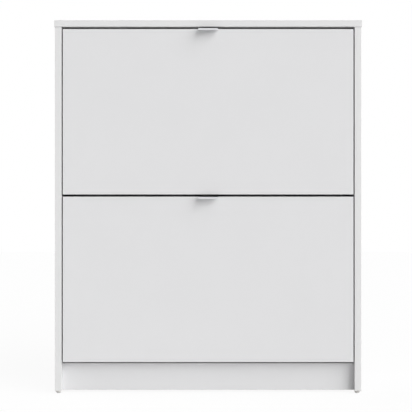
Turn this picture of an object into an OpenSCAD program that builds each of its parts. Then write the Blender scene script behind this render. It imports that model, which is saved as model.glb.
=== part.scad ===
// Two-flap tilt-out shoe cabinet in white melamine board.
// The doors face -Y and +Z is up. The origin is on the floor, under the middle of the outline
// that the carcass and the handles make together.

/* [Carcass] */
// Width over the top panel
top_width = 702; // [640:1:760]
// Height from the floor to the top panel's upper face
cabinet_height = 852; // [820:1:900]
// Depth from the door faces to the rear of the back panel
cabinet_depth = 235; // [230:1:250]
// Thickness of the melamine-faced boards
board = 15; // [14.5:0.5:16.5]
// Radius of the eased edge banding
edge_ease = 0.5; // [0.4:0.1:1.2]
// How far the top panel stands past each side
top_side_overhang = 1.5; // [0.5:0.5:8]
// How far the top panel stands past the door faces
top_front_overhang = 1.5; // [0.5:0.5:8]
// Height of the bottom panel's upper face above the floor
base_height = 67; // [62:0.5:90]
// How far the plinth stands behind the door faces
plinth_recess = 19; // [16:1:40]
// Gap under the plinth
plinth_floor_gap = 5.5; // [3:0.5:8]
// Height of the two rails that stiffen the back
rail_height = 60; // [54:1:80]
// Thickness of the back panel
back_thickness = 3; // [2.5:0.5:4]
// How far the back panel's edges stay inside the carcass outline
back_inset = 1; // [0.5:0.5:3]

/* [Doors] */
// Gap above and below each door
door_gap = 5; // [4:0.1:6]
// Gap between a door and each cabinet side
door_side_gap = 2.8; // [1.5:0.1:3.5]

/* [Handles] */
// Width of a handle
handle_width = 45; // [40:1:90]
// How far a handle stands out from the door face
handle_reach = 18; // [13:1:25]
// Height of the lip that the fingers pull on
lip_height = 4.8; // [4:0.2:8]
// Thickness of the handle's sheet
handle_sheet = 1.6; // [1.2:0.1:2]
// Outer radius of the handle's front bend
handle_bend = 2.2; // [2.1:0.1:3]
// How far the handle's top lies below the door's upper edge
handle_sink = 0.7; // [0.5:0.1:1.5]
// Height of the handle's flange behind the door
handle_flange = 30; // [26:1:40]
// Distance between the handle's two screws
handle_screw_spacing = 26; // [20:1:30]

/* [Tilt hinge] */
// Distance of the pivots behind the doors' rear faces
pivot_behind = 7; // [7:0.5:9]
// Height of the pivots above the door's lower edge
pivot_rise = 80; // [76:1:100]
// Diameter of the pivot pins
pivot_d = 8; // [7:0.5:9]
// Depth of the pivot pins and stop screws in the cabinet sides
pivot_depth = 11; // [9:0.5:12]
// Angle that a flap tilts to when it is opened
opening_angle = 45; // [35:1:48]
// Distance of the stop from the pivot
stop_radius = 60; // [50:1:70]
// Angle of the stop behind the upright through the pivot
stop_lean = 10; // [5:1:15]
// Diameter of the stop sleeves
stop_d = 10; // [8:0.5:12]
// Diameter of the stop screws
stop_screw_d = 4; // [3.5:0.5:5]

/* [Shoe baskets] */
// Clear depth of the front row of shoes
front_row_depth = 95; // [85:1:105]
// Gap between a basket and the rails behind it
basket_clearance = 5; // [4:0.5:8]
// Gap between a side frame and the cabinet side
frame_gap = 3; // [2.5:0.5:5]
// Thickness of a side frame from its web to its rim
frame_depth = 8; // [7:0.5:10]
// Thickness of a side frame's web
frame_web = 3; // [2.5:0.5:4]
// Width of the rim around a side frame
rim_width = 3; // [2:0.5:4]
// Distance between the ribs of a side frame
rib_pitch = 42; // [30:1:60]
// Thickness of the ribs
rib_width = 1.6; // [1.2:0.2:2.4]
// Corner radius of a side frame
frame_corner = 8; // [6:0.5:10]
// Height of a side frame's lower edge above the door's lower edge
frame_lift = 10; // [8:0.5:14]
// Distance of a side frame's front corner below the door's upper edge
frame_drop = 73; // [60:1:90]
// How far the frame's rear corner lies below its front corner
frame_fall = 55; // [45:1:70]
// Thickness of the boards that slide into the side frames
insert_board = 3; // [2.5:0.5:4]
// Height of the front floor above the frame's lower edge
floor_rise = 6; // [5:0.5:8]
// How much higher the rear floor lies than the front floor
floor_step = 30; // [20:1:45]
// How far the divider and the rear board end below the frame's edge
insert_drop = 8; // [5:1:15]
// Height of the channels that hold the boards
channel_height = 8; // [6:0.5:10]
// Wall thickness of those channels
channel_wall = 2; // [1.5:0.5:2.5]
// Width of a side frame's screw flange
flange_width = 22; // [20:1:28]
// Thickness of that flange
flange_thickness = 3; // [2.5:0.5:4]

/* [Feet and back] */
// Height of the glides
glide_height = 6; // [5:0.5:8]
// Diameter of a glide at the board
glide_d = 13.5; // [12:0.5:14]
// Diameter of a glide on the floor
glide_foot_d = 7.3; // [6:0.5:9]
// Distance of the glides from the front and rear edges
glide_inset = 12; // [10:1:20]
// Number of nails along each side in each bay of the back
nails_per_bay = 3; // [2:1:5]
// Length of a nail
nail_length = 15; // [12:1:16]
// Diameter of a nail
nail_d = 1.8; // [1.4:0.2:2.4]
// Distance between the two wall screw holes
wall_hole_spacing = 500; // [400:10:540]
// Diameter of the wall screw holes
wall_hole_d = 5; // [4:0.5:8]

/* [Joint fittings] */
// Diameter of the cam locks
cam_d = 15; // [12:0.5:15]
// Length of the cam locks
cam_length = 12; // [11:0.5:12]
// Distance of a cam's centre from the joint
cam_setback = 24; // [20:1:34]
// Diameter of a cam bolt's shank
bolt_d = 6; // [5:0.5:7]
// Diameter of a cam bolt's thread
thread_d = 5; // [4:0.5:6]
// Depth of the cam bolts' threads and of the dowels in the board that they enter
joint_depth = 10; // [8:0.5:12]
// Diameter of the wooden dowels
dowel_d = 8; // [6:0.5:9]
// Length of the wooden dowels
dowel_length = 30; // [25:1:35]
// Diameter of the wood screws in the doors
screw_d = 3.5; // [3:0.5:4]
// Depth of the wood screws in the doors
screw_depth = 11; // [9:0.5:12]
// Diameter of the wood screws' heads
screw_head_d = 7; // [6:0.5:8]
// Height of the wood screws' heads
screw_head_height = 2; // [1.5:0.5:2.5]

/* [Hidden] */
$fn = 64;

// Clearances of the fits
seat = 0.05;          // around what is pressed or screwed in, on the radius
blind = 0.5;          // past the end of what a blind hole holds
pivot_play = 0.08;    // between a pivot pin and its bore, on the radius
side_play = 0.2;      // beside a washer or a pin's head, along the pivot
stop_play = 0.3;      // around a stop sleeve in its slot
channel_play = 0.2;   // on each side of a board in its channel
notch_play = 0.2;     // on each side of a handle in the door's notch
back_play = 0.5;      // above the back panel

// Small details of the fittings
cam_slot = 1.6;       // width and depth of the cross on a cam
bolt_neck = 3.5;      // diameter of a cam bolt's neck
bolt_head = 2;        // half the length of a cam bolt's head
cap_d = cam_d + 2;
cap_thickness = 1;
chamfer = 1;          // on the ends of dowels, bolts, screws and nails
pin_head = 2;         // how far a pin's or a screw's head stands past its shank, on the radius
head_thickness = 2;
boss_wall = 2.5;      // wall around a pivot bore, and rim of a washer
slot_wall = 2.5;      // wall around a stop slot
rib_drop = 1.5;       // how far the ribs stay below the rim
flange_relief = 10;   // free height of the flange above and below a pivot's head
frame_screw_inset = 25;   // distance of the end screws from a frame's corners
nail_head_d = 5;
nail_head = 0.8;
glide_pin_d = 4;
glide_pin = 14;       // length of the pin that holds a glide
joint_inset = 40;     // distance of the cam joints from the boards' front and rear ends
joint_offset = 15;    // distance of a rail's cam and dowel from its middle
notch_reach = 1;      // past a face, so that a cut is open

// The carcass
body_width = top_width - 2 * top_side_overhang;
inner_width = body_width - 2 * board;
front_y = (handle_reach - cabinet_depth) / 2;
rear_y = front_y + cabinet_depth;
back_y = rear_y - back_thickness;
top_z = cabinet_height - board;
plinth_y = front_y + plinth_recess;
bottom_y = plinth_y + board;
rail_y = back_y - board;
plinth_mid = (plinth_floor_gap + base_height) / 2;
side_mid = inner_width / 2 + board / 2;

// The doors
door_height = (top_z - base_height - 3 * door_gap) / 2;
door_width = inner_width - 2 * door_side_gap;
function door_z(level) = base_height + door_gap + level * (door_height + door_gap);
middle_rail_z = door_z(1) - door_gap / 2 - rail_height / 2;
top_rail_z = top_z - rail_height;

// A flap, seen from its pivot: Y runs to the rear, Z up
pivot_setback = board + pivot_behind;
pivot_y = front_y + pivot_setback;
function pivot_z(level) = door_z(level) + pivot_rise;
door_front = -pivot_setback;
door_back = door_front + board;
door_top = door_height - pivot_rise;
stop_angle = 90 - stop_lean;
frame_x = inner_width / 2 - frame_gap;
web_x = frame_x - frame_depth;
stop_length = frame_gap + frame_depth - side_play;
basket_rear = rail_y - basket_clearance - pivot_y;
frame_low = frame_lift - pivot_rise;
frame_top = door_top - frame_drop;
divider_y = door_back + front_row_depth;
rear_board_y = basket_rear - rim_width - insert_board;
front_floor_z = frame_low + floor_rise;
rear_floor_z = front_floor_z + floor_step;
insert_half = web_x - channel_play;

// Height of the frame's sloping upper edge at a depth behind the pivot
function frame_edge(y) = frame_top - frame_fall * (y - door_back) / (basket_rear - door_back);

// Sections of the four boards in a basket, each between two corners in Y and Z
channel_end = channel_wall + 2 * channel_play;
divider_section = [[divider_y, front_floor_z],
    [divider_y + insert_board, frame_edge(divider_y + insert_board) - insert_drop]];
rear_section = [[rear_board_y, rear_floor_z],
    [rear_board_y + insert_board, frame_edge(rear_board_y + insert_board) - insert_drop]];
front_floor_section = [[door_back + flange_thickness + channel_end, front_floor_z],
    [divider_y - channel_end, front_floor_z + insert_board]];
rear_floor_section = [[divider_y + insert_board + channel_end, rear_floor_z],
    [rear_board_y - channel_end, rear_floor_z + insert_board]];
sections = [divider_section, rear_section, front_floor_section, rear_floor_section];

// The side frame's corners, from the lower front one around to the lowest rear one
frame_corners = [
    [door_back, frame_low],
    [divider_y + insert_board + frame_corner, frame_low],
    [basket_rear, frame_low + floor_step],
    [basket_rear, frame_top - frame_fall],
    [door_back, frame_top]];

// ---- Shapes ----

module eased_outline(size) {
    translate([edge_ease, 0]) square([size.x - 2 * edge_ease, size.y]);
    translate([0, edge_ease]) square([size.x, size.y - 2 * edge_ease]);
    for (x = [edge_ease, size.x - edge_ease], y = [edge_ease, size.y - edge_ease])
        translate([x, y]) circle(edge_ease);
}

// A board with eased edges, between two opposite corners
module eased_board(low, high) {
    size = high - low;
    translate(low) intersection() {
        linear_extrude(size.z) eased_outline([size.x, size.y]);
        rotate([90, 0, 90]) linear_extrude(size.x) eased_outline([size.y, size.z]);
        translate([0, size.y, 0]) rotate([90, 0, 0])
            linear_extrude(size.y) eased_outline([size.x, size.z]);
    }
}

// A plain block between two opposite corners
module block(low, high) {
    translate(low) cube(high - low);
}

// Extrudes an outline drawn in Y and Z along +X
module along_x(x, length) {
    translate([x, 0, 0]) rotate([90, 0, 90]) linear_extrude(length) children();
}

// A round rod along +X
module rod_x(x, length, diameter) {
    translate([x, 0, 0]) rotate([0, 90, 0]) cylinder(h = length, d = diameter);
}

// A round rod along +Y
module rod_y(y, length, diameter) {
    translate([0, y, 0]) rotate([-90, 0, 0]) cylinder(h = length, d = diameter);
}

// Children on the right and mirrored on the left
module both_sides() {
    children();
    mirror([1, 0, 0]) children();
}

// ---- Places ----

// Cam joints. Each has its origin on the joint face, in the middle of the board's thickness.
// +Z runs into the board that takes the bolt's thread, and +Y towards the cam's open face.
module top_cam_joints() {
    for (side = [-1, 1], y = [front_y + joint_inset, back_y - joint_inset])
        translate([side * side_mid, y, top_z]) rotate([0, 0, 90 * side]) children();
}

module bottom_cam_joints() {
    for (side = [-1, 1], y = [bottom_y + joint_inset, back_y - joint_inset])
        translate([side * inner_width / 2, y, base_height - board / 2])
            rotate([-90, 0, -90 * side]) children();
}

module upright_joint(y, z) {
    for (side = [-1, 1])
        translate([side * inner_width / 2, y, z]) rotate([0, 90 * side, 0]) children();
}

module rail_cam_joints() {
    upright_joint(rail_y + board / 2, middle_rail_z + rail_height / 2 - joint_offset) children();
    upright_joint(rail_y + board / 2, top_rail_z + rail_height / 2 - joint_offset) children();
}

module plinth_cam_joints() {
    upright_joint(plinth_y + board / 2, plinth_mid - joint_offset) children();
}

module all_cam_joints() {
    top_cam_joints() children();
    bottom_cam_joints() children();
    rail_cam_joints() children();
    plinth_cam_joints() children();
}

// Dowel joints, with the same axes
module top_dowel_joints() {
    for (side = [-1, 1])
        translate([side * side_mid, (front_y + back_y) / 2, top_z]) children();
}

module bottom_dowel_joints() {
    for (side = [-1, 1])
        translate([side * inner_width / 2, (bottom_y + back_y) / 2, base_height - board / 2])
            rotate([0, 90 * side, 0]) children();
}

module rail_dowel_joints() {
    upright_joint(rail_y + board / 2, middle_rail_z + rail_height / 2 + joint_offset) children();
    upright_joint(rail_y + board / 2, top_rail_z + rail_height / 2 + joint_offset) children();
}

module plinth_dowel_joints() {
    upright_joint(plinth_y + board / 2, plinth_mid + joint_offset) children();
}

module all_dowel_joints() {
    top_dowel_joints() children();
    bottom_dowel_joints() children();
    rail_dowel_joints() children();
    plinth_dowel_joints() children();
}

module glide_places() {
    for (side = [-1, 1], y = [front_y + glide_inset, back_y - glide_inset])
        translate([side * side_mid, y, glide_height]) children();
}

// Nails in the back panel, on its rear face
module side_nails() {
    bays = [[base_height, middle_rail_z], [middle_rail_z + rail_height, top_rail_z]];
    for (side = [-1, 1], bay = bays, i = [1 : nails_per_bay])
        translate([side * side_mid, rear_y, bay[0] + (bay[1] - bay[0]) * (i - 0.5) / nails_per_bay])
            children();
}

module cross_nails(z) {
    for (x = [-1, 0, 1] * inner_width / 3) translate([x, rear_y, z]) children();
}

module all_nails() {
    side_nails() children();
    cross_nails(base_height - board / 2) children();
    cross_nails(middle_rail_z + rail_height / 2) children();
    cross_nails(top_rail_z + rail_height / 2) children();
}

module wall_holes(depth) {
    for (side = [-1, 1])
        translate([side * wall_hole_spacing / 2, rear_y + notch_reach, top_rail_z + rail_height / 2])
            rotate([90, 0, 0]) cylinder(h = depth + 2 * notch_reach, d = wall_hole_d);
}

// The frame of a flap: the lower flap is level 0, the upper flap is level 1
module at_flap(level) {
    translate([0, pivot_y, pivot_z(level)]) children();
}

module stop_place() {
    translate([0, stop_radius * cos(stop_angle), stop_radius * sin(stop_angle)]) children();
}

// Screws that fasten one side frame to the door, on the flange's rear face
module frame_screw_places() {
    heights = [frame_low + frame_screw_inset, frame_top / 2, frame_top - frame_screw_inset];
    for (z = heights)
        translate([frame_x - flange_width + screw_head_d, door_back + flange_thickness, z]) children();
}

module handle_screw_places() {
    for (side = [-1, 1])
        translate([side * handle_screw_spacing / 2, door_back + handle_sheet,
            door_top - handle_sink - handle_flange / 2 - handle_sheet]) children();
}

// ---- Fittings ----

module cam_lock() {
    difference() {
        translate([0, 0, -cam_setback]) rod_y(board / 2 - cam_length, cam_length, cam_d);
        translate([0, 0, -cam_setback - 2 * bolt_head])
            cylinder(h = cam_setback, d = bolt_d + 2 * seat);
        for (turn = [45, 135])
            translate([0, board / 2, -cam_setback]) rotate([0, turn, 0])
                cube([cam_d / 2, 2 * cam_slot, cam_slot], center = true);
    }
}

module cam_bolt() {
    neck_low = -cam_setback + bolt_head;
    rotate_extrude() polygon([
        [0, -cam_setback - bolt_head], [bolt_d / 2, -cam_setback - bolt_head],
        [bolt_d / 2, neck_low], [bolt_neck / 2, neck_low],
        [bolt_neck / 2, neck_low + 2 * bolt_head], [bolt_d / 2, neck_low + 2 * bolt_head],
        [bolt_d / 2, 0], [thread_d / 2, 0],
        [thread_d / 2, joint_depth - chamfer], [thread_d / 2 - chamfer, joint_depth],
        [0, joint_depth]]);
}

// Bores for a cam and its bolt in the board that holds the cam
module cam_bores() {
    translate([0, 0, -cam_setback]) rod_y(board / 2 - cam_length - blind,
        cam_length + blind + notch_reach, cam_d + 2 * seat);
    translate([0, 0, -cam_setback]) cylinder(h = cam_setback + notch_reach, d = bolt_d + 2 * seat);
}

module thread_bore() {
    translate([0, 0, -notch_reach])
        cylinder(h = joint_depth + blind + notch_reach, d = thread_d + 2 * seat);
}

module wood_dowel() {
    rotate_extrude() polygon([
        [0, joint_depth - dowel_length], [dowel_d / 2 - chamfer, joint_depth - dowel_length],
        [dowel_d / 2, joint_depth - dowel_length + chamfer], [dowel_d / 2, joint_depth - chamfer],
        [dowel_d / 2 - chamfer, joint_depth], [0, joint_depth]]);
}

module dowel_bore() {
    translate([0, 0, joint_depth - dowel_length - blind])
        cylinder(h = dowel_length + 2 * blind, d = dowel_d + 2 * seat);
}

// A pan-head wood screw along Y: its head's bearing face at the origin, its shank towards -Y
module wood_screw(shank, diameter, head_d, head) {
    rotate([90, 0, 0]) rotate_extrude() polygon([
        [0, -head], [head_d / 2 - head / 2, -head], [head_d / 2, -head / 2], [head_d / 2, 0],
        [diameter / 2, 0], [diameter / 2, shank - chamfer], [0, shank]]);
}

module screw_bore(depth) {
    rotate([90, 0, 0]) translate([0, 0, -notch_reach])
        cylinder(h = depth + blind + notch_reach, d = screw_d + 2 * seat);
}

// ---- Carcass boards ----

module top_panel() {
    color("#e2e2e4") difference() {
        eased_board([-top_width / 2, front_y - top_front_overhang, top_z],
            [top_width / 2, rear_y, cabinet_height]);
        top_cam_joints() thread_bore();
        top_dowel_joints() dowel_bore();
    }
}

// The right-hand side panel: the left one is its mirror image
module side_panel() {
    color("#e2e2e4") difference() {
        eased_board([inner_width / 2, front_y, glide_height], [body_width / 2, back_y, top_z]);
        top_cam_joints() cam_bores();
        top_dowel_joints() dowel_bore();
        bottom_cam_joints() thread_bore();
        rail_cam_joints() thread_bore();
        plinth_cam_joints() thread_bore();
        bottom_dowel_joints() dowel_bore();
        rail_dowel_joints() dowel_bore();
        plinth_dowel_joints() dowel_bore();
        glide_places() glide_bore();
        side_nails() nail_bore();
        for (level = [0, 1]) at_flap(level) {
            rod_x(inner_width / 2 - notch_reach, pivot_depth + blind + notch_reach,
                pivot_d + 2 * seat);
            stop_place() rod_x(inner_width / 2 - notch_reach, pivot_depth + blind + notch_reach,
                stop_screw_d + 2 * seat);
        }
    }
}

module bottom_panel() {
    color("#e2e2e4") difference() {
        eased_board([-inner_width / 2, bottom_y, base_height - board],
            [inner_width / 2, back_y, base_height]);
        bottom_cam_joints() cam_bores();
        bottom_dowel_joints() dowel_bore();
        cross_nails(base_height - board / 2) nail_bore();
    }
}

module plinth() {
    color("#dededf") difference() {
        eased_board([-inner_width / 2, plinth_y, plinth_floor_gap],
            [inner_width / 2, bottom_y, base_height]);
        plinth_cam_joints() cam_bores();
        plinth_dowel_joints() dowel_bore();
    }
}

module rail(z) {
    color("#e2e2e4") difference() {
        eased_board([-inner_width / 2, rail_y, z], [inner_width / 2, back_y, z + rail_height]);
        rail_cam_joints() cam_bores();
        rail_dowel_joints() dowel_bore();
        cross_nails(z + rail_height / 2) nail_bore();
        wall_holes(back_thickness + board);
    }
}

module back_panel() {
    color("#ebebea") difference() {
        block([-body_width / 2 + back_inset, back_y, base_height - board],
            [body_width / 2 - back_inset, rear_y, top_z - back_play]);
        all_nails() nail_bore();
        wall_holes(back_thickness);
    }
}

// ---- Feet, nails and joint fittings ----

module glides() {
    color("#e9e9e8") glide_places() rotate_extrude() polygon([
        [0, -glide_height], [glide_foot_d / 2, -glide_height],
        for (a = [15 : 15 : 75]) [
            glide_foot_d / 2 + (glide_d - glide_foot_d) / 2 * sin(a),
            -glide_height + (glide_height - chamfer) * (1 - cos(a))],
        [glide_d / 2, -chamfer], [glide_d / 2, 0], [glide_pin_d / 2, 0],
        [glide_pin_d / 2, glide_pin - chamfer], [0, glide_pin]]);
}

module glide_bore() {
    translate([0, 0, -notch_reach])
        cylinder(h = glide_pin + blind + notch_reach, d = glide_pin_d + 2 * seat);
}

module cam_locks() {
    color("#c8c9ca") all_cam_joints() cam_lock();
}

module cam_bolts() {
    color("#b8b9ba") all_cam_joints() cam_bolt();
}

module cam_caps() {
    color("#f0f0f0") top_cam_joints() translate([0, 0, -cam_setback])
        rod_y(board / 2, cap_thickness, cap_d);
}

module wood_dowels() {
    color("#c9a36b") all_dowel_joints() wood_dowel();
}

module back_nails() {
    color("#b8b9ba") all_nails() rotate([90, 0, 0]) rotate_extrude() polygon([
        [0, 0], [nail_head_d / 2, 0], [nail_head_d / 2, nail_head], [nail_d / 2, nail_head],
        [nail_d / 2, nail_length - chamfer], [0, nail_length]]);
}

module nail_bore() {
    rotate([90, 0, 0]) {
        translate([0, 0, -notch_reach])
            cylinder(h = nail_length + blind + notch_reach, d = nail_d + 2 * seat);
        translate([0, 0, -notch_reach])
            cylinder(h = nail_head + notch_reach, d = nail_head_d + 2 * seat);
    }
}

// ---- Pivots and stops in the cabinet sides ----

module pivot_pins() {
    head_x = web_x - side_play - head_thickness;
    color("#a9abad") for (level = [0, 1]) at_flap(level) both_sides() {
        rod_x(head_x, head_thickness, pivot_d + 2 * pin_head);
        rod_x(head_x, inner_width / 2 + pivot_depth - head_x, pivot_d);
    }
}

module pivot_washers() {
    color("#f0f0f0") for (level = [0, 1]) at_flap(level) both_sides() difference() {
        rod_x(frame_x + side_play, frame_gap - side_play, pivot_d + 2 * boss_wall);
        rod_x(frame_x, frame_gap + notch_reach, pivot_d + 2 * seat);
    }
}

module stop_sleeves() {
    color("#6f7172") for (level = [0, 1]) at_flap(level) stop_place() both_sides() difference() {
        rod_x(inner_width / 2 - stop_length, stop_length, stop_d);
        rod_x(inner_width / 2 - stop_length - notch_reach, stop_length + 2 * notch_reach,
            stop_screw_d + 2 * seat);
    }
}

module stop_screws() {
    color("#b8b9ba") for (level = [0, 1]) at_flap(level) stop_place() both_sides()
        translate([inner_width / 2 - stop_length, 0, 0]) rotate([0, 0, 90])
            wood_screw(stop_length + pivot_depth, stop_screw_d, stop_screw_d + 2 * pin_head,
                head_thickness);
}

// ---- A flap ----

module door() {
    color("#e2e2e4") difference() {
        eased_board([-door_width / 2, door_front, -pivot_rise], [door_width / 2, door_back, door_top]);
        block([-handle_width / 2 - notch_play, door_front - notch_reach,
                door_top - handle_sink - handle_sheet],
            [handle_width / 2 + notch_play, door_back + notch_reach, door_top + notch_reach]);
        handle_screw_places() screw_bore(handle_sheet + screw_depth);
        both_sides() frame_screw_places() screw_bore(flange_thickness + screw_depth);
    }
}

// One bent sheet: a lip in front, a plate over the door's edge and a flange behind the door
module handle() {
    top = door_top - handle_sink;
    front = door_front - handle_reach;
    color("#c9cacb") difference() {
        along_x(-handle_width / 2, handle_width) {
            translate([front, top - lip_height]) square([handle_sheet, lip_height - handle_bend]);
            translate([front + handle_bend, top - handle_sheet])
                square([door_back + handle_sheet - front - handle_bend, handle_sheet]);
            translate([door_back, top - handle_flange]) square([handle_sheet, handle_flange]);
            translate([front + handle_bend, top - handle_bend]) difference() {
                circle(handle_bend);
                circle(handle_bend - handle_sheet);
                translate([0, -handle_bend]) square(2 * handle_bend);
                translate([-handle_bend, -2 * handle_bend]) square(2 * handle_bend);
            }
        }
        handle_screw_places() screw_bore(handle_sheet);
    }
}

module handle_screws() {
    color("#b8b9ba") handle_screw_places()
        wood_screw(handle_sheet + screw_depth, screw_d, screw_head_d, screw_head_height);
}

// A convex outline with round corners: centres inset by the corner radius, edges moved in by inset
module round_outline(corners, radius, inset) {
    count = len(corners);
    centres = [for (i = [0 : count - 1]) inner_corner(corners, i, radius)];
    polygon([for (i = [0 : count - 1], point = [centres[i], centres[(i + 1) % count]])
        point + (radius - inset) * edge_normal(centres[i], centres[(i + 1) % count])]);
    for (centre = centres) translate(centre) circle(radius - inset);
}

// Outward normal of an edge of an outline that runs counter-clockwise
function edge_normal(a, b) = [b.y - a.y, a.x - b.x] / norm(b - a);

// Centre of the circle that rounds a corner
function inner_corner(corners, i, radius) =
    let (count = len(corners))
    let (before = edge_normal(corners[(i + count - 1) % count], corners[i]))
    let (after = edge_normal(corners[i], corners[(i + 1) % count]))
    corners[i] - radius * (before + after) / (1 + before * after);

// A channel on a side frame for a board whose section runs between two corners in Y and Z
module channel(low, high) {
    wall = [1, 1] * (channel_play + channel_wall);
    along_x(web_x - channel_height, channel_height + frame_web / 2)
        translate(low - wall) square(high - low + 2 * wall);
}

module channel_groove(low, high) {
    play = [1, 1] * channel_play;
    along_x(web_x - channel_height - notch_reach, channel_height + notch_reach)
        translate(low - play) square(high - low + 2 * play);
}

// The space that the stop sleeve sweeps in a side frame, with a margin all around it
module stop_arc(x, length, margin) {
    reach = stop_d / 2 + margin;
    lean = asin(reach / stop_radius);
    translate([x, 0, 0]) rotate([90, 0, 90]) rotate([0, 0, stop_angle - opening_angle - lean])
        rotate_extrude(angle = opening_angle + 2 * lean)
            translate([stop_radius - reach, 0]) square([2 * reach, length]);
}

// Upright and level ribs, as an outline in Y and Z
module rib_grid() {
    for (y = [rib_pitch / 2 : rib_pitch : basket_rear])
        translate([y - rib_width / 2, frame_low]) square([rib_width, frame_top - frame_low]);
    for (z = [frame_low + rib_pitch / 2 : rib_pitch : frame_top])
        translate([door_back, z]) square([basket_rear - door_back, rib_width]);
}

// One stretch of the flange that lies on the door's rear face
module screw_flange(low, high) {
    block([frame_x - flange_width, door_back, low],
        [web_x + frame_web, door_back + flange_thickness, high]);
}

// The right-hand side frame: the left one is its mirror image
module side_frame() {
    color("#d9dadb") difference() {
        union() {
            along_x(web_x, frame_web) round_outline(frame_corners, frame_corner, 0);
            along_x(web_x, frame_depth) difference() {
                round_outline(frame_corners, frame_corner, 0);
                round_outline(frame_corners, frame_corner, rim_width);
            }
            along_x(web_x, frame_depth - rib_drop) intersection() {
                round_outline(frame_corners, frame_corner, rim_width / 2);
                rib_grid();
            }
            rod_x(web_x, frame_depth, pivot_d + 2 * boss_wall);
            stop_arc(web_x, frame_depth, stop_play + slot_wall);
            screw_flange(frame_low + frame_corner + flange_relief / 2, -flange_relief);
            screw_flange(flange_relief, frame_top - frame_corner - flange_relief / 2);
            for (section = sections) channel(section[0], section[1]);
        }
        for (section = sections) channel_groove(section[0], section[1]);
        rod_x(web_x - notch_reach, frame_depth + 2 * notch_reach, pivot_d + 2 * pivot_play);
        stop_arc(web_x - notch_reach, frame_depth + 2 * notch_reach, stop_play);
        frame_screw_places() screw_bore(flange_thickness);
    }
}

module frame_screws() {
    color("#b8b9ba") both_sides() frame_screw_places()
        wood_screw(flange_thickness + screw_depth, screw_d, screw_head_d, screw_head_height);
}

module insert(section) {
    color("#ededec") along_x(-insert_half, 2 * insert_half)
        translate(section[0]) square(section[1] - section[0]);
}

top_panel();
mirror([1, 0, 0]) side_panel();  // side_panel_left
side_panel();  // side_panel_right
bottom_panel();
plinth();
rail(middle_rail_z);  // middle_rail
rail(top_rail_z);  // top_rail
back_panel();
glides();
cam_locks();
cam_bolts();
cam_caps();
wood_dowels();
back_nails();
pivot_pins();
pivot_washers();
stop_screws();
stop_sleeves();
at_flap(1) door();  // upper_door
at_flap(1) handle();  // upper_handle
at_flap(1) handle_screws();  // upper_handle_screws
at_flap(1) mirror([1, 0, 0]) side_frame();  // upper_frame_left
at_flap(1) side_frame();  // upper_frame_right
at_flap(1) frame_screws();  // upper_frame_screws
at_flap(1) insert(divider_section);  // upper_divider
at_flap(1) insert(rear_section);  // upper_rear_board
at_flap(1) insert(front_floor_section);  // upper_front_floor
at_flap(1) insert(rear_floor_section);  // upper_rear_floor
at_flap(0) door();  // lower_door
at_flap(0) handle();  // lower_handle
at_flap(0) handle_screws();  // lower_handle_screws
at_flap(0) mirror([1, 0, 0]) side_frame();  // lower_frame_left
at_flap(0) side_frame();  // lower_frame_right
at_flap(0) frame_screws();  // lower_frame_screws
at_flap(0) insert(divider_section);  // lower_divider
at_flap(0) insert(rear_section);  // lower_rear_board
at_flap(0) insert(front_floor_section);  // lower_front_floor
at_flap(0) insert(rear_floor_section);  // lower_rear_floor
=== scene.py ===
import math

import bmesh
import bpy
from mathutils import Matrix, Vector


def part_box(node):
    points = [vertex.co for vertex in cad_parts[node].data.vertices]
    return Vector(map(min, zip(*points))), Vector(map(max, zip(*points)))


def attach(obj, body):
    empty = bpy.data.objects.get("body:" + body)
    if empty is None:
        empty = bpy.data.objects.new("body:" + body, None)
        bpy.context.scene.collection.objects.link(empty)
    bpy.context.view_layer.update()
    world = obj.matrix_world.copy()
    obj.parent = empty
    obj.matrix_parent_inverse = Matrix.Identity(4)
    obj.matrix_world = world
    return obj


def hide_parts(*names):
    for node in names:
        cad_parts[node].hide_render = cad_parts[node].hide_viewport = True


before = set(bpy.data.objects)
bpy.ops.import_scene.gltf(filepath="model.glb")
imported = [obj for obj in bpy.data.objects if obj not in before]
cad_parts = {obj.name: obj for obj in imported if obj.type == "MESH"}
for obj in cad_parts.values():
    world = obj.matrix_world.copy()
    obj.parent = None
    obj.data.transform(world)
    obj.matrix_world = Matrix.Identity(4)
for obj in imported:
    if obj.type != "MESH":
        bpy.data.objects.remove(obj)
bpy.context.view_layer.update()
print("construction loaded:", len(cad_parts), "nodes")

mm = 0.001
tolerance = 0.01 * mm  # for picking vertices by their place

# the Mix node's sockets go by number, because several of them share a name
share, valueA, valueB, colourA, colourB = 0, 2, 3, 6, 7
valueOut, colourOut = 0, 2


def linearColour(hexColour):
    # an sRGB hex value as the linear colour that shaders take
    channels = [int(hexColour[i:i + 2], 16) / 255 for i in (1, 3, 5)]
    linear = [c / 12.92 if c <= 0.04045 else ((c + 0.055) / 1.055) ** 2.4 for c in channels]
    return (*linear, 1.0)


def link(tree, node, links):
    # links are sockets by the name or number of the input that each one feeds
    for name, socket in links.items():
        tree.links.new(socket, node.inputs[name])


def addNode(tree, kind, settings=None, links=None):
    # settings are input values or properties by name
    node = tree.nodes.new("ShaderNode" + kind)
    for name, value in (settings or {}).items():
        if isinstance(name, int) or name in node.inputs:
            node.inputs[name].default_value = value
        else:
            setattr(node, name, value)
    link(tree, node, links or {})
    return node


def newMaterial(name):
    material = bpy.data.materials.new(name)
    material.use_nodes = True
    return material, material.node_tree, material.node_tree.nodes["Principled BSDF"]


def dressNodes(names, material):
    for name in names:
        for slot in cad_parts[name].material_slots:
            slot.material = material


def clearSelection():
    if bpy.context.object and bpy.context.object.mode != "OBJECT":
        bpy.ops.object.mode_set(mode="OBJECT")
    bpy.ops.object.select_all(action="DESELECT")


def pickPiece(piece):
    clearSelection()
    piece.select_set(True)
    bpy.context.view_layer.objects.active = piece


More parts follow.
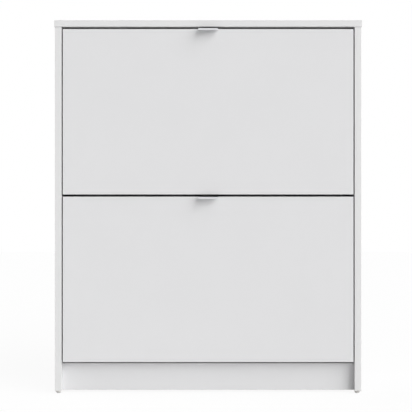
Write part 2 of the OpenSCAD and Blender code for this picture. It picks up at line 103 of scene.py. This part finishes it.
def selectVertices(piece, test):
    # selects, in edit mode, the vertices whose place passes the test
    bpy.ops.object.mode_set(mode="EDIT")
    bpy.ops.mesh.select_mode(type="VERT")
    bpy.ops.mesh.select_all(action="DESELECT")
    mesh = bmesh.from_edit_mesh(piece.data)
    for vertex in mesh.verts:
        vertex.select = test(vertex.co)
    mesh.select_flush(True)
    bmesh.update_edit_mesh(piece.data)


def extrudeUp(height):
    # extrudes what is selected straight up, or down where the height is negative
    bpy.ops.mesh.extrude_region_move(TRANSFORM_OT_translate={"value": (0, 0, height)})


def applyModifiers(piece):
    pickPiece(piece)
    for modifier in list(piece.modifiers):
        bpy.ops.object.modifier_apply(modifier=modifier.name)


def copyPiece(piece, move):
    pickPiece(piece)
    bpy.ops.object.duplicate_move(TRANSFORM_OT_translate={"value": tuple(move)})
    return bpy.context.object


def finishPiece(piece, name, body, material, smoothAngle):
    # place into the mesh, smooth shading, material, and the body that it moves with
    pickPiece(piece)
    bpy.ops.object.transform_apply(location=True, rotation=True, scale=True)
    bpy.ops.object.shade_smooth_by_angle(angle=math.radians(smoothAngle))
    # large faces keep their own direction, so that flat sheet looks flat up to its bends
    weighted = piece.modifiers.new("faceNormals", "WEIGHTED_NORMAL")
    weighted.keep_sharp = True
    applyModifiers(piece)
    piece.name = name
    piece.data.name = name
    piece.data.materials.clear()
    piece.data.materials.append(material)
    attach(piece, body)
    return piece


sideFacing = 0.7  # a surface belongs to a board's side when it faces it by more than this


def boardDirections(tree, faceAxis):
    # the surface's direction along the board's own axes, and 1 where it is an edge, not a face
    worldNormal = addNode(tree, "NewGeometry").outputs["Normal"]
    normal = addNode(tree, "VectorTransform", {"vector_type": "NORMAL", "convert_from": "WORLD",
                     "convert_to": "OBJECT"}, {"Vector": worldNormal})
    direction = addNode(tree, "SeparateXYZ", {}, {"Vector": normal.outputs[0]})
    turned = addNode(tree, "Math", {"operation": "ABSOLUTE"}, {0: direction.outputs[faceAxis]})
    isEdge = addNode(tree, "Math", {"operation": "LESS_THAN", 1: sideFacing},
                     {0: turned.outputs[0]})
    return direction, isEdge.outputs[0]


melamine = {
    "face": "#e2e2e3",
    "faceShade": "#dfdfe0",
    "cloud": 120 * mm,
    "emboss": 0.9 * mm,         # real pearl embossing is about 0.5 mm, too fine to show
    "embossRange": (0.3, 0.7),  # the part of the embossing noise that turns into gloss
    "relief": 0.25,
    "depth": 0.02 * mm,
    "faceRough": (0.54, 0.62),
    "band": "#e2e2e2",
    "bandRough": 0.48,
    "chip": "#b8986c",
    "chipLight": "#d8c096",
    "chipDark": "#7d6141",
    "darkFrom": 0.55,           # chips start to darken at this part of their random shades
    "flake": 2.5 * mm,
    "flatness": 1.8,            # how much longer than thick the chips are
    "ragged": 1.6 * mm,
    "rawRough": 0.85,
}


def chipShades(tree, place, faceAxis):
    # chips lie flat along the board, and their outlines are ragged
    ragged = addNode(tree, "TexNoise", {"Scale": 1 / melamine["ragged"], "Detail": 3.0},
                     {"Vector": place})
    shift = addNode(tree, "VectorMath", {"operation": "SCALE", "Scale": melamine["ragged"]},
                    {0: ragged.outputs["Color"]})
    torn = addNode(tree, "VectorMath", {"operation": "ADD"}, {0: place, 1: shift.outputs[0]})
    stretch = [1.0, 1.0, 1.0]
    stretch[faceAxis] = melamine["flatness"]
    lying = addNode(tree, "Mapping", {"Scale": tuple(stretch)}, {"Vector": torn.outputs[0]})
    flakes = addNode(tree, "TexVoronoi", {"Scale": 1 / melamine["flake"], "Randomness": 1.0},
                     {"Vector": lying.outputs[0]})
    shade = addNode(tree, "SeparateColor", {}, {"Color": flakes.outputs["Color"]})
    chips = addNode(tree, "Mix", {"data_type": "RGBA", colourA: linearColour(melamine["chip"]),
                    colourB: linearColour(melamine["chipLight"])}, {share: shade.outputs[0]})
    dark = addNode(tree, "MapRange", {"From Min": melamine["darkFrom"], "From Max": 1.0},
                   {"Value": shade.outputs[1]})
    chips = addNode(tree, "Mix", {"data_type": "RGBA",
                    colourB: linearColour(melamine["chipDark"])},
                    {share: dark.outputs[0], colourA: chips.outputs[colourOut]})
    return chips.outputs[colourOut]


def melamineBoard(name, faceAxis, rawSides=()):
    # Melamine-faced particle board: pressed paper film with a fine pearl embossing, and smoother
    # plastic banding on its edges. Unbanded edges show the chips. Each raw side is an axis and
    # the end of it, -1 or 1.
    material, tree, shader = newMaterial(name)
    place = addNode(tree, "TexCoord").outputs["Object"]
    direction, isBand = boardDirections(tree, faceAxis)

    cloud = addNode(tree, "TexNoise", {"Scale": 1 / melamine["cloud"], "Detail": 2.0},
                    {"Vector": place})
    pearl = addNode(tree, "TexNoise", {"Scale": 1 / melamine["emboss"], "Detail": 3.0,
                    "Roughness": 0.55}, {"Vector": place})
    face = addNode(tree, "Mix", {"data_type": "RGBA", colourA: linearColour(melamine["face"]),
                   colourB: linearColour(melamine["faceShade"])}, {share: cloud.outputs["Fac"]})
    colour = addNode(tree, "Mix", {"data_type": "RGBA", colourB: linearColour(melamine["band"])},
                     {share: isBand, colourA: face.outputs[colourOut]}).outputs[colourOut]
    gloss = addNode(tree, "MapRange", {"From Min": melamine["embossRange"][0],
                    "From Max": melamine["embossRange"][1], "To Min": melamine["faceRough"][0],
                    "To Max": melamine["faceRough"][1]}, {"Value": pearl.outputs["Fac"]})
    roughness = addNode(tree, "Mix", {"data_type": "FLOAT", valueB: melamine["bandRough"]},
                        {share: isBand, valueA: gloss.outputs[0]}).outputs[valueOut]

    for axis, end in rawSides:
        facing = addNode(tree, "Math", {"operation": "MULTIPLY", 1: end},
                         {0: direction.outputs[axis]})
        isRaw = addNode(tree, "Math", {"operation": "GREATER_THAN", 1: sideFacing},
                        {0: facing.outputs[0]}).outputs[0]
        colour = addNode(tree, "Mix", {"data_type": "RGBA"},
                         {share: isRaw, colourA: colour,
                          colourB: chipShades(tree, place, faceAxis)}).outputs[colourOut]
        roughness = addNode(tree, "Mix", {"data_type": "FLOAT", valueB: melamine["rawRough"]},
                            {share: isRaw, valueA: roughness}).outputs[valueOut]

    # the banding has no embossing: there the relief is level, at the middle of the noise
    relief = addNode(tree, "Mix", {"data_type": "FLOAT", valueB: 0.5},
                     {share: isBand, valueA: pearl.outputs["Fac"]})
    bump = addNode(tree, "Bump", {"Strength": melamine["relief"], "Distance": melamine["depth"]},
                   {"Height": relief.outputs[valueOut]})
    link(tree, shader, {"Base Color": colour, "Roughness": roughness, "Normal": bump.outputs[0]})
    return material


hardboard = {
    "lacquer": "#ecebe8",
    "lacquerShade": "#e7e5e2",
    "lacquerRough": 0.5,
    "roll": 60 * mm,
    "fibre": "#69482d",
    "fibreLight": "#a07c55",
    "fibreRough": 0.8,
    "strand": 2.2 * mm,          # pressed fibre bundles are about 1 mm wide, drawn coarser to show
    "mottle": 28 * mm,
    "mottleShare": 0.4,          # the rest of the brown's pattern is the strands
    "brownRange": (0.36, 0.64),  # the part of that pattern that runs from dark to light
    "relief": 0.3,
    "depth": 0.04 * mm,
}


def hardboardSheet(name, faceAxis, rawBeyond=None):
    # Hardboard lacquered white: a thin rolled film over pressed brown fibres, bare on cut edges,
    # and on the rear face where rawBeyond gives the depth at which it starts.
    material, tree, shader = newMaterial(name)
    place = addNode(tree, "TexCoord").outputs["Object"]
    isBare = boardDirections(tree, faceAxis)[1]
    if rawBeyond is not None:
        depth = addNode(tree, "SeparateXYZ", {}, {"Vector": place}).outputs["Y"]
        isRear = addNode(tree, "Math", {"operation": "GREATER_THAN", 1: rawBeyond}, {0: depth})
        isBare = addNode(tree, "Math", {"operation": "MAXIMUM"},
                         {0: isBare, 1: isRear.outputs[0]}).outputs[0]

    film = addNode(tree, "TexNoise", {"Scale": 1 / hardboard["roll"], "Detail": 3.0},
                   {"Vector": place})
    white = addNode(tree, "Mix", {"data_type": "RGBA",
                    colourA: linearColour(hardboard["lacquer"]),
                    colourB: linearColour(hardboard["lacquerShade"])},
                    {share: film.outputs["Fac"]})
    strands = addNode(tree, "TexNoise", {"Scale": 1 / hardboard["strand"], "Detail": 5.0,
                      "Roughness": 0.7, "Distortion": 1.2}, {"Vector": place})
    mottle = addNode(tree, "TexNoise", {"Scale": 1 / hardboard["mottle"], "Detail": 4.0,
                     "Roughness": 0.6}, {"Vector": place})
    pattern = addNode(tree, "Mix", {"data_type": "FLOAT", share: hardboard["mottleShare"]},
                      {valueA: strands.outputs["Fac"], valueB: mottle.outputs["Fac"]})
    light = addNode(tree, "MapRange", {"From Min": hardboard["brownRange"][0],
                    "From Max": hardboard["brownRange"][1]},
                    {"Value": pattern.outputs[valueOut]})
    brown = addNode(tree, "Mix", {"data_type": "RGBA", colourA: linearColour(hardboard["fibre"]),
                    colourB: linearColour(hardboard["fibreLight"])}, {share: light.outputs[0]})
    colour = addNode(tree, "Mix", {"data_type": "RGBA"},
                     {share: isBare, colourA: white.outputs[colourOut],
                      colourB: brown.outputs[colourOut]})
    roughness = addNode(tree, "Mix", {"data_type": "FLOAT", valueA: hardboard["lacquerRough"],
                        valueB: hardboard["fibreRough"]}, {share: isBare})
    bump = addNode(tree, "Bump", {"Strength": hardboard["relief"],
                   "Distance": hardboard["depth"]}, {"Height": strands.outputs["Fac"]})
    link(tree, shader, {"Base Color": colour.outputs[colourOut],
                        "Roughness": roughness.outputs[valueOut], "Normal": bump.outputs[0]})
    return material


anodised = {
    "metal": "#e6e7e9",
    "metalShade": "#dcdde0",
    "rough": (0.36, 0.5),
    "line": 0.5 * mm,     # brushing lines, drawn wider than the real 0.1 mm to show
    "stretch": 24,        # how much longer the lines are than wide
    "relief": 0.2,
    "depth": 0.02 * mm,
}


def satinAluminium(name):
    # Anodised aluminium sheet, brushed along its length before the bath: soft streaked reflections
    material, tree, shader = newMaterial(name)
    place = addNode(tree, "TexCoord").outputs["Object"]
    drawn = addNode(tree, "Mapping", {"Scale": (1 / anodised["stretch"], 1.0, 1.0)},
                    {"Vector": place})
    lines = addNode(tree, "TexNoise", {"Scale": 1 / anodised["line"], "Detail": 4.0,
                    "Roughness": 0.6}, {"Vector": drawn.outputs[0]})
    colour = addNode(tree, "Mix", {"data_type": "RGBA", colourA: linearColour(anodised["metal"]),
                     colourB: linearColour(anodised["metalShade"])},
                     {share: lines.outputs["Fac"]})
    roughness = addNode(tree, "MapRange", {"To Min": anodised["rough"][0],
                        "To Max": anodised["rough"][1]}, {"Value": lines.outputs["Fac"]})
    bump = addNode(tree, "Bump", {"Strength": anodised["relief"], "Distance": anodised["depth"]},
                   {"Height": lines.outputs["Fac"]})
    shader.inputs["Metallic"].default_value = 1.0
    link(tree, shader, {"Base Color": colour.outputs[colourOut],
                        "Roughness": roughness.outputs[0], "Normal": bump.outputs[0]})
    return material


zinc = {
    "bright": "#c3c5c8",
    "dull": "#9fa2a6",
    "patch": 3 * mm,
    "grain": 0.4 * mm,
    "relief": 0.15,
    "depth": 0.03 * mm,
    "platedRough": (0.22, 0.34),
    "castRough": (0.38, 0.55),
}


def zincMetal(name, rough):
    # Zinc, plated on steel or die-cast: a grey crystalline skin with cloudy gloss
    material, tree, shader = newMaterial(name)
    place = addNode(tree, "TexCoord").outputs["Object"]
    patches = addNode(tree, "TexNoise", {"Scale": 1 / zinc["patch"], "Detail": 3.0},
                      {"Vector": place})
    grain = addNode(tree, "TexNoise", {"Scale": 1 / zinc["grain"], "Detail": 2.0},
                    {"Vector": place})
    colour = addNode(tree, "Mix", {"data_type": "RGBA", colourA: linearColour(zinc["bright"]),
                     colourB: linearColour(zinc["dull"])}, {share: patches.outputs["Fac"]})
    roughness = addNode(tree, "MapRange", {"To Min": rough[0], "To Max": rough[1]},
                        {"Value": patches.outputs["Fac"]})
    bump = addNode(tree, "Bump", {"Strength": zinc["relief"], "Distance": zinc["depth"]},
                   {"Height": grain.outputs["Fac"]})
    shader.inputs["Metallic"].default_value = 1.0
    link(tree, shader, {"Base Color": colour.outputs[colourOut],
                        "Roughness": roughness.outputs[0], "Normal": bump.outputs[0]})
    return material


plastics = {
    # polypropylene from an eroded mould: light grey, even, with a soft waxy gloss
    "polypropyleneFrame": {"colour": "#d6d7d8", "cloud": "#d0d1d3", "grain": 0.8 * mm,
                           "rough": (0.42, 0.55), "relief": 0.3},
    # nylon from a polished mould: milky white and smooth
    "nylonWhite": {"colour": "#eeeeec", "cloud": "#e8e8e5", "grain": 1.5 * mm,
                   "rough": (0.34, 0.42), "relief": 0.1},
    # polyethylene, moulded: near white, smooth and slightly greasy looking
    "polyethyleneGlide": {"colour": "#e9e9e8", "cloud": "#e2e2e1", "grain": 1.2 * mm,
                          "rough": (0.38, 0.48), "relief": 0.15},
    # rubber tube, extruded: dark and matt
    "rubberSleeve": {"colour": "#3a3a3c", "cloud": "#333335", "grain": 0.6 * mm,
                     "rough": (0.62, 0.8), "relief": 0.4},
}
flowCloud = 40 * mm     # the length of flow marks in moulded plastic
grainDepth = 0.05 * mm  # how deep the mould's grain is


def mouldedPlastic(name):
    # one colour with slight flow clouds, and the fine grain of the mould
    look = plastics[name]
    material, tree, shader = newMaterial(name)
    place = addNode(tree, "TexCoord").outputs["Object"]
    flow = addNode(tree, "TexNoise", {"Scale": 1 / flowCloud, "Detail": 2.0, "Distortion": 0.8},
                   {"Vector": place})
    grain = addNode(tree, "TexNoise", {"Scale": 1 / look["grain"], "Detail": 3.0},
                    {"Vector": place})
    colour = addNode(tree, "Mix", {"data_type": "RGBA", colourA: linearColour(look["colour"]),
                     colourB: linearColour(look["cloud"])}, {share: flow.outputs["Fac"]})
    roughness = addNode(tree, "MapRange", {"To Min": look["rough"][0],
                        "To Max": look["rough"][1]}, {"Value": grain.outputs["Fac"]})
    bump = addNode(tree, "Bump", {"Strength": look["relief"], "Distance": grainDepth},
                   {"Height": grain.outputs["Fac"]})
    link(tree, shader, {"Base Color": colour.outputs[colourOut],
                        "Roughness": roughness.outputs[0], "Normal": bump.outputs[0]})
    return material


beech = {
    "light": "#d3ab77",
    "dark": "#b58a58",
    "rough": 0.6,
    "ring": 2.0735 * mm,  # from one growth ring to the next
    "fleck": 0.5 * mm,
    "stretch": 12.5,      # how much longer the flecks are than wide
    "relief": 0.2,
    "depth": 0.05 * mm,
}


def beechDowel(name):
    # Beech rod: pale pinkish brown with fine short flecks along the grain, which runs in X here
    material, tree, shader = newMaterial(name)
    place = addNode(tree, "TexCoord").outputs["Object"]
    along = addNode(tree, "Mapping", {"Scale": (1 / beech["stretch"], 1.0, 1.0)},
                    {"Vector": place})
    # a wave texture of scale 1 repeats every tenth of pi
    rings = addNode(tree, "TexWave", {"Scale": math.pi / 10 / beech["ring"], "Distortion": 3.0,
                    "Detail": 2.0, "bands_direction": "Z"}, {"Vector": along.outputs[0]})
    flecks = addNode(tree, "TexNoise", {"Scale": 1 / beech["fleck"], "Detail": 2.0},
                     {"Vector": along.outputs[0]})
    both = addNode(tree, "Math", {"operation": "MULTIPLY"},
                   {0: rings.outputs["Fac"], 1: flecks.outputs["Fac"]})
    colour = addNode(tree, "Mix", {"data_type": "RGBA", colourA: linearColour(beech["light"]),
                     colourB: linearColour(beech["dark"])}, {share: both.outputs[0]})
    bump = addNode(tree, "Bump", {"Strength": beech["relief"], "Distance": beech["depth"]},
                   {"Height": flecks.outputs["Fac"]})
    shader.inputs["Roughness"].default_value = beech["rough"]
    link(tree, shader, {"Base Color": colour.outputs[colourOut], "Normal": bump.outputs[0]})
    return material


# a board's first number is the axis across its thickness: 0 for X, 1 for Y and 2 for Z
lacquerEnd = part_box("back_panel")[1].y - 0.5 * mm  # the back panel's rear face is bare
sideBoard = melamineBoard("melamineSideBoard", 0, rawSides=((2, -1), (1, 1)))
frontBoard = melamineBoard("melamineDoorBoard", 1)
uprightBoard = melamineBoard("melamineUprightBoard", 1, rawSides=((2, -1),))
levelBoard = melamineBoard("melamineTopBoard", 2)
bottomBoard = melamineBoard("melamineBottomBoard", 2, rawSides=((1, 1),))
backSheet = hardboardSheet("hardboardBack", 1, rawBeyond=lacquerEnd)
uprightSheet = hardboardSheet("hardboardUpright", 1)
levelSheet = hardboardSheet("hardboardFloor", 2)
handleMetal = satinAluminium("anodisedAluminium")
screwMetal = zincMetal("zincPlatedSteel", zinc["platedRough"])
castMetal = zincMetal("zincCasting", zinc["castRough"])
framePlastic = mouldedPlastic("polypropyleneFrame")
nylon = mouldedPlastic("nylonWhite")
glidePlastic = mouldedPlastic("polyethyleneGlide")
sleeveRubber = mouldedPlastic("rubberSleeve")
dowelWood = beechDowel("beechDowel")

dressNodes(["side_panel_left", "side_panel_right"], sideBoard)
dressNodes(["upper_door", "lower_door"], frontBoard)
dressNodes(["plinth", "middle_rail", "top_rail"], uprightBoard)
dressNodes(["top_panel"], levelBoard)
dressNodes(["bottom_panel"], bottomBoard)
dressNodes(["back_panel"], backSheet)
dressNodes(["cam_locks"], castMetal)
dressNodes(["cam_bolts", "back_nails", "pivot_pins", "stop_screws"], screwMetal)
dressNodes(["cam_caps", "pivot_washers"], nylon)
dressNodes(["stop_sleeves"], sleeveRubber)
dressNodes(["wood_dowels"], dowelWood)
for flap in ("upper", "lower"):
    dressNodes([flap + "_frame_left", flap + "_frame_right"], framePlastic)
    dressNodes([flap + "_handle_screws", flap + "_frame_screws"], screwMetal)
    dressNodes([flap + "_divider", flap + "_rear_board"], uprightSheet)
    dressNodes([flap + "_front_floor", flap + "_rear_floor"], levelSheet)
print("materials dressed on the construction")


handle = {
    "sheet": 1.6 * mm,
    "lip": 4.8 * mm,
    "frontBend": 2.2 * mm,    # outer radius
    "rearBend": 1.9 * mm,
    "bendSteps": 8,
    "cornerRadius": 1.2 * mm,
    "cornerSteps": 5,
    "burr": 0.25 * mm,        # rounding of the sheet's cut edges
    "burrSteps": 3,
    "burrAngle": 50,          # degrees: sharper edges than this are rounded
    "screwHole": 2.0 * mm,
    "drill": 20 * mm,         # longer than the flange is thick, and short of the lip
    "smooth": 35,             # degrees: flatter edges than this are shaded smooth
}


def drillFlange(piece, x, y, z):
    # cuts one screw hole through the flange
    clearSelection()
    bpy.ops.mesh.primitive_cylinder_add(vertices=32, radius=handle["screwHole"],
                                        depth=handle["drill"], location=(x, y, z),
                                        rotation=(math.radians(90), 0, 0))
    drill = bpy.context.object
    hole = piece.modifiers.new("hole", "BOOLEAN")
    hole.object = drill
    hole.solver = "EXACT"
    applyModifiers(piece)
    bpy.data.objects.remove(drill)


def bentHandle(flap):
    # one strip of sheet: flat over the door's edge, bent down in front and behind
    low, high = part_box(flap + "_handle")
    frontCentre = (0, low.y + handle["frontBend"], high.z - handle["frontBend"])
    rearCentre = (0, high.y - handle["rearBend"], high.z - handle["rearBend"])
    depth = rearCentre[1] - frontCentre[1]
    middle = frontCentre[1] + depth / 2

    clearSelection()
    bpy.ops.mesh.primitive_plane_add(size=1, location=(0, middle, high.z))
    piece = bpy.context.object
    bpy.ops.object.transform_apply(location=True)
    bpy.ops.object.mode_set(mode="EDIT")
    bpy.ops.mesh.select_all(action="SELECT")
    bpy.ops.transform.resize(value=(high.x - low.x, depth, 1),
                             center_override=(0, middle, high.z))

    selectVertices(piece, lambda co: co.y < middle)
    bpy.ops.mesh.spin(steps=handle["bendSteps"], angle=math.radians(-90), center=frontCentre,
                      axis=(1, 0, 0))
    extrudeUp(handle["frontBend"] - handle["lip"])
    selectVertices(piece, lambda co: co.y > rearCentre[1] - tolerance)
    bpy.ops.mesh.spin(steps=handle["bendSteps"], angle=math.radians(90), center=rearCentre,
                      axis=(1, 0, 0))
    extrudeUp(low.z - rearCentre[2])

    # round the strip's four corners
    lipEnd = high.z - handle["lip"] + tolerance
    flangeEnd = low.z + tolerance
    selectVertices(piece, lambda co: (co.y < middle and co.z < lipEnd) or co.z < flangeEnd)
    bpy.ops.mesh.bevel(offset=handle["cornerRadius"], segments=handle["cornerSteps"],
                       affect="VERTICES")
    bpy.ops.mesh.select_all(action="SELECT")
    bpy.ops.mesh.remove_doubles(threshold=tolerance)
    bpy.ops.mesh.normals_make_consistent(inside=False)
    bpy.ops.object.mode_set(mode="OBJECT")

    # the sheet's thickness goes inwards, whichever way the strip came to face
    top = max(piece.data.polygons, key=lambda face: face.center.z)
    sheet = piece.modifiers.new("sheet", "SOLIDIFY")
    sheet.thickness = handle["sheet"]
    sheet.offset = -1 if top.normal.z > 0 else 1
    sheet.use_even_offset = True
    burr = piece.modifiers.new("burr", "BEVEL")
    burr.width = handle["burr"]
    burr.segments = handle["burrSteps"]
    burr.limit_method = "ANGLE"
    burr.angle_limit = math.radians(handle["burrAngle"])
    applyModifiers(piece)

    screwLow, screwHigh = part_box(flap + "_handle_screws")
    screwHeight = (screwLow.z + screwHigh.z) / 2
    headRadius = (screwHigh.z - screwLow.z) / 2
    for x in (screwLow.x + headRadius, screwHigh.x - headRadius):
        drillFlange(piece, x, high.y, screwHeight)
    return piece


upperHandle = bentHandle("upper")
lowerHandle = copyPiece(upperHandle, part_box("lower_handle")[0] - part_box("upper_handle")[0])
for flap, piece in (("upper", upperHandle), ("lower", lowerHandle)):
    finishPiece(piece, flap + "_bent_handle", flap + "_flap", handleMetal,
                handle["smooth"])
    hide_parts(flap + "_handle")
print("handles bent")


glide = {
    "rimRadius": 6.75 * mm,
    "footRadius": 3.65 * mm,
    "flange": 1.0 * mm,
    "pinRadius": 2.0 * mm,
    "pinStraight": 0.85,      # the rest of the pin's length is its tapered tip
    "pinTaper": 0.7,
    "steps": 9,
    "smooth": 40,             # degrees: flatter edges than this are shaded smooth
}


def nailOnGlide(x, y, low, boardZ, pinTop):
    # a domed foot turned up from its flat, with the pin that holds it in the board
    clearSelection()
    bpy.ops.mesh.primitive_circle_add(vertices=48, radius=glide["footRadius"], fill_type="NGON",
                                      location=(x, y, low))
    piece = bpy.context.object
    bpy.ops.object.transform_apply(location=True)
    bpy.ops.object.mode_set(mode="EDIT")
    bpy.ops.mesh.select_all(action="SELECT")
    domeHeight = boardZ - low - glide["flange"]
    reach = glide["rimRadius"] - glide["footRadius"]
    lastRadius, lastZ = glide["footRadius"], low
    for step in range(1, glide["steps"] + 1):
        turn = math.radians(90) * step / glide["steps"]
        radius = glide["footRadius"] + reach * math.sin(turn)
        z = low + domeHeight * (1 - math.cos(turn))
        extrudeUp(z - lastZ)
        bpy.ops.transform.resize(value=(radius / lastRadius, radius / lastRadius, 1),
                                 center_override=(x, y, z))
        lastRadius, lastZ = radius, z
    extrudeUp(boardZ - lastZ)
    bpy.ops.mesh.inset(thickness=glide["rimRadius"] - glide["pinRadius"])
    pinLength = pinTop - boardZ
    extrudeUp(pinLength * glide["pinStraight"])
    extrudeUp(pinLength * (1 - glide["pinStraight"]))
    bpy.ops.transform.resize(value=(glide["pinTaper"], glide["pinTaper"], 1),
                             center_override=(x, y, pinTop))
    bpy.ops.mesh.select_all(action="SELECT")
    bpy.ops.mesh.normals_make_consistent(inside=False)
    bpy.ops.object.mode_set(mode="OBJECT")
    return piece


glideLow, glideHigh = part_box("glides")
acrossX = glideHigh.x - glideLow.x - 2 * glide["rimRadius"]
acrossY = glideHigh.y - glideLow.y - 2 * glide["rimRadius"]
firstFoot = nailOnGlide(glideLow.x + glide["rimRadius"], glideLow.y + glide["rimRadius"],
                        glideLow.z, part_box("side_panel_right")[0].z, glideHigh.z)
feet = [firstFoot]
for move in ((acrossX, 0, 0), (0, acrossY, 0), (acrossX, acrossY, 0)):
    feet.append(copyPiece(firstFoot, move))
clearSelection()
for foot in feet:
    foot.select_set(True)
bpy.context.view_layer.objects.active = firstFoot
bpy.ops.object.join()
domedGlides = finishPiece(bpy.context.object, "domed_glides", "cabinet",
                          glidePlastic, glide["smooth"])
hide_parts("glides")
print("glides turned")


studio = {
    "eyeHeight": 0.4282,
    "distance": 2.3,          # from the camera to the door faces
    "viewWidth": 0.9399,      # width of the view at the door faces
    "sideShift": -0.0051,     # the cabinet stands a little right of the middle
    "sensor": 36,             # width in mm
    "viewDepth": 50,
    "ambient": 0.2,
    "floorSize": 14,
    "floorWhite": "#fbfbfb",
    "floorGrey": "#d4d4d4",   # what the floor gives back to the object
    "floorShow": 0.92,        # share of plain white in what the camera sees of the floor
    "paperShade": 0.96,       # the darkest of the floor's faint clouds
    "lampDistance": 4,
    # lamps that no surface mirrors: the fill stands near the camera, and the key's sheen would
    # turn the top panel white as seen from behind
    "unmirrored": ("frontFill", "keySoftbox"),
}

# each lamp's light on a surface that faces it, degrees to the right of the camera, degrees above
# the floor, and how many degrees wide it is
lamps = {
    "keySoftbox": (0.915, 50, 31, 60),
    "frontFill": (0.105, 4, 6, 30),
    "rightRearFill": (0.1, 125, 30, 60),
    "leftRearFill": (0.34, -120, 30, 60),
}


def whiteForCamera(tree, strength):
    # a factor that is strength for camera, glossy and transmission rays, and 0 for the rest, also
    # for a glossy ray after a matt bounce: metal doesn't throw the white onto its neighbours
    path = addNode(tree, "LightPath")
    seen = addNode(tree, "Math", {"operation": "MAXIMUM"},
                   {0: path.outputs["Is Camera Ray"], 1: path.outputs["Is Glossy Ray"]})
    seen = addNode(tree, "Math", {"operation": "MAXIMUM"},
                   {0: seen.outputs[0], 1: path.outputs["Is Transmission Ray"]})
    direct = addNode(tree, "Math", {"operation": "LESS_THAN", 1: 0.5},
                     {0: path.outputs["Diffuse Depth"]})
    seen = addNode(tree, "Math", {"operation": "MULTIPLY"},
                   {0: seen.outputs[0], 1: direct.outputs[0]})
    return addNode(tree, "Math", {"operation": "MULTIPLY", 1: strength},
                   {0: seen.outputs[0]}).outputs[0]


def floorPaper(name):
    # matt paper: white to look at, pale grey in the light that it gives back, with a soft shadow
    material, tree, shader = newMaterial(name)
    tree.nodes.clear()
    place = addNode(tree, "TexCoord").outputs["Object"]
    clouds = addNode(tree, "TexNoise", {"Scale": 4.0, "Detail": 2.0}, {"Vector": place})
    shade = addNode(tree, "MapRange", {"To Min": studio["paperShade"], "To Max": 1.0},
                    {"Value": clouds.outputs["Fac"]})
    colour = addNode(tree, "Mix", {"data_type": "RGBA",
                     colourA: linearColour(studio["floorGrey"]),
                     colourB: linearColour(studio["floorWhite"])},
                     {share: whiteForCamera(tree, 1.0)})
    colour = addNode(tree, "Mix", {"data_type": "RGBA", "blend_type": "MULTIPLY", share: 1.0},
                     {colourA: colour.outputs[colourOut], colourB: shade.outputs[0]})
    paper = addNode(tree, "BsdfDiffuse", {}, {"Color": colour.outputs[colourOut]})
    glow = addNode(tree, "Emission", {"Color": (1, 1, 1, 1), "Strength": 1.0})
    mixed = addNode(tree, "MixShader", {}, {0: whiteForCamera(tree, studio["floorShow"]),
                    1: paper.outputs[0], 2: glow.outputs[0]})
    addNode(tree, "OutputMaterial", {}, {"Surface": mixed.outputs[0]})
    return material


clearSelection()
bpy.ops.mesh.primitive_plane_add(size=studio["floorSize"], location=(0, 0, glideLow.z))
floor = bpy.context.object
bpy.ops.object.transform_apply(location=True)
floor.name = "floor"
floor.data.materials.append(floorPaper("studioFloor"))

world = bpy.data.worlds.new("studio")
bpy.context.scene.world = world
world.use_nodes = True
tree = world.node_tree
tree.nodes.clear()
soft = addNode(tree, "Background", {"Color": (1, 1, 1, 1), "Strength": studio["ambient"]})
plain = addNode(tree, "Background", {"Color": (1, 1, 1, 1), "Strength": 1.0})
mixed = addNode(tree, "MixShader", {}, {0: whiteForCamera(tree, 1.0), 1: soft.outputs[0],
                2: plain.outputs[0]})
addNode(tree, "OutputWorld", {}, {"Surface": mixed.outputs[0]})

for name, (strength, azimuth, height, softness) in lamps.items():
    turn, rise = math.radians(azimuth), math.radians(height)
    towards = Vector((math.sin(turn) * math.cos(rise), -math.cos(turn) * math.cos(rise),
                      math.sin(rise)))
    bpy.ops.object.light_add(type="SUN", location=towards * studio["lampDistance"])
    lamp = bpy.context.object
    lamp.name = name
    lamp.rotation_euler = towards.to_track_quat("Z", "Y").to_euler()
    lamp.data.energy = strength * math.pi
    lamp.data.angle = math.radians(softness)
    lamp.visible_glossy = name not in studio["unmirrored"]

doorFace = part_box("upper_door")[0].y
bpy.ops.object.camera_add(location=(0, doorFace - studio["distance"], studio["eyeHeight"]),
                          rotation=(math.radians(90), 0, 0))
camera = bpy.context.object
camera.data.sensor_width = studio["sensor"]
camera.data.lens = studio["sensor"] * studio["distance"] / studio["viewWidth"]
camera.data.shift_x = studio["sideShift"]
camera.data.clip_end = studio["viewDepth"]
bpy.context.scene.camera = camera
bpy.context.scene.view_settings.view_transform = "Standard"
print("studio set")

clearSelection()
